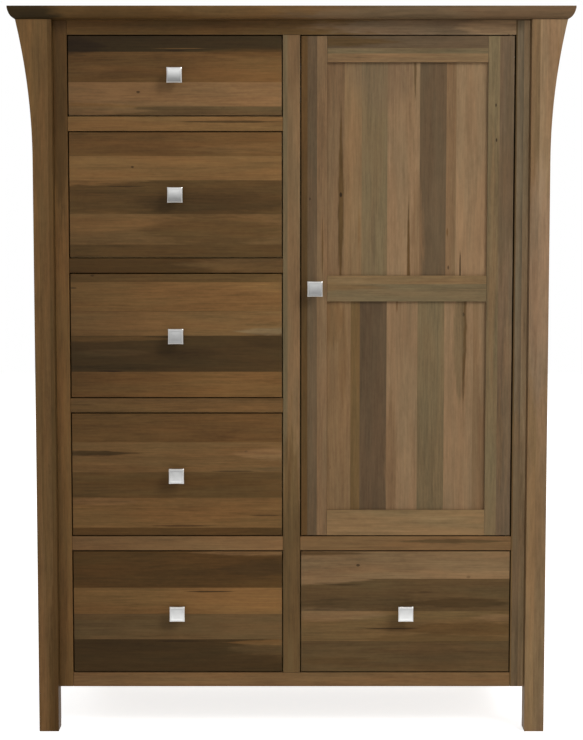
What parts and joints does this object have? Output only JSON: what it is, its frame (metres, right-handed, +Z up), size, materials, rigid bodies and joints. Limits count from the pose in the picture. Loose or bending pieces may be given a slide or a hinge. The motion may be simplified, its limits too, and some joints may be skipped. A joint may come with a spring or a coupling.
{
  "type": "chifforobe",
  "caption": "Wooden chifforobe with a flat top and flared square legs: a column of inset drawers beside a framed two-panel door with a drawer below it, and square metal knobs.",
  "frame": {"origin": "on the floor, under the middle of the top board", "axes": "+X towards the viewer's right as seen from the front, +Y towards the back, +Z up; the drawers and the door open towards -Y"},
  "size_m": [1.1684, 0.5334, 1.524],
  "materials": {
    "top_wood": "brown stain, satin",
    "leg_wood": "brown stain, satin",
    "side_wood": "brown stain, satin",
    "frame_wood": "brown stain, satin",
    "door_wood": "brown stain, satin",
    "panel_wood": "brown stain, satin",
    "drawer_wood": "brown stain, satin",
    "inner_wood": "natural, flat",
    "box_wood": "clear, satin",
    "knob_nickel": "satin nickel",
    "socket_metal": "satin",
    "strike_steel": "zinc, satin",
    "pivot_brass": "satin",
    "catch_plastic": "matte brown"
  },
  "bodies": {
    "carcass": {"top_board": "top_wood", "front_left_leg": "leg_wood", "front_right_leg": "leg_wood", "rear_left_leg": "leg_wood", "rear_right_leg": "leg_wood", "left_side_panel": "side_wood", "right_side_panel": "side_wood", "back_panel": "inner_wood", "centre_partition": "inner_wood", "case_bottom": "inner_wood", "wardrobe_floor": "inner_wood", "left_stile": "frame_wood", "right_stile": "frame_wood", "centre_stile": "frame_wood", "top_rail": "frame_wood", "bottom_rail": "frame_wood", "drawer_rail_1": "frame_wood", "drawer_rail_2": "frame_wood", "drawer_rail_3": "frame_wood", "drawer_rail_4": "frame_wood", "door_rail": "frame_wood", "dust_frame_1": "inner_wood", "dust_frame_2": "inner_wood", "dust_frame_3": "inner_wood", "dust_frame_4": "inner_wood", "garment_rod": "inner_wood", "rod_socket_left": "socket_metal", "rod_socket_right": "socket_metal", "upper_case_pivot": "pivot_brass", "lower_case_pivot": "pivot_brass", "magnetic_catch": "catch_plastic"},
    "door": {"door_lock_stile": "door_wood", "door_hinge_stile": "door_wood", "door_top_rail": "door_wood", "door_middle_rail": "door_wood", "door_bottom_rail": "door_wood", "door_upper_panel": "panel_wood", "door_lower_panel": "panel_wood", "door_knob": "knob_nickel", "strike_plate": "strike_steel", "upper_door_pivot": "pivot_brass", "lower_door_pivot": "pivot_brass"},
    "drawer_1": {"drawer_1_front": "drawer_wood", "drawer_1_box": "box_wood", "drawer_1_knob": "knob_nickel"},
    "drawer_2": {"drawer_2_front": "drawer_wood", "drawer_2_box": "box_wood", "drawer_2_knob": "knob_nickel"},
    "drawer_3": {"drawer_3_front": "drawer_wood", "drawer_3_box": "box_wood", "drawer_3_knob": "knob_nickel"},
    "drawer_4": {"drawer_4_front": "drawer_wood", "drawer_4_box": "box_wood", "drawer_4_knob": "knob_nickel"},
    "drawer_5": {"drawer_5_front": "drawer_wood", "drawer_5_box": "box_wood", "drawer_5_knob": "knob_nickel"},
    "drawer_6": {"drawer_6_front": "drawer_wood", "drawer_6_box": "box_wood", "drawer_6_knob": "knob_nickel"}
  },
  "joints": [
    {"name": "door_hinge", "type": "hinge", "parent": "carcass", "child": "door", "pos_m": [0.4555, -0.2206, 0.9], "axis": [0, 0, 1], "range_deg": [0, 110]},
    {"name": "drawer_1_slide", "type": "slide", "parent": "carcass", "child": "drawer_1", "axis": [0, -1, 0], "range_m": [0, 0.344]},
    {"name": "drawer_2_slide", "type": "slide", "parent": "carcass", "child": "drawer_2", "axis": [0, -1, 0], "range_m": [0, 0.344]},
    {"name": "drawer_3_slide", "type": "slide", "parent": "carcass", "child": "drawer_3", "axis": [0, -1, 0], "range_m": [0, 0.344]},
    {"name": "drawer_4_slide", "type": "slide", "parent": "carcass", "child": "drawer_4", "axis": [0, -1, 0], "range_m": [0, 0.344]},
    {"name": "drawer_5_slide", "type": "slide", "parent": "carcass", "child": "drawer_5", "axis": [0, -1, 0], "range_m": [0, 0.344]},
    {"name": "drawer_6_slide", "type": "slide", "parent": "carcass", "child": "drawer_6", "axis": [0, -1, 0], "range_m": [0, 0.344]}
  ]
}
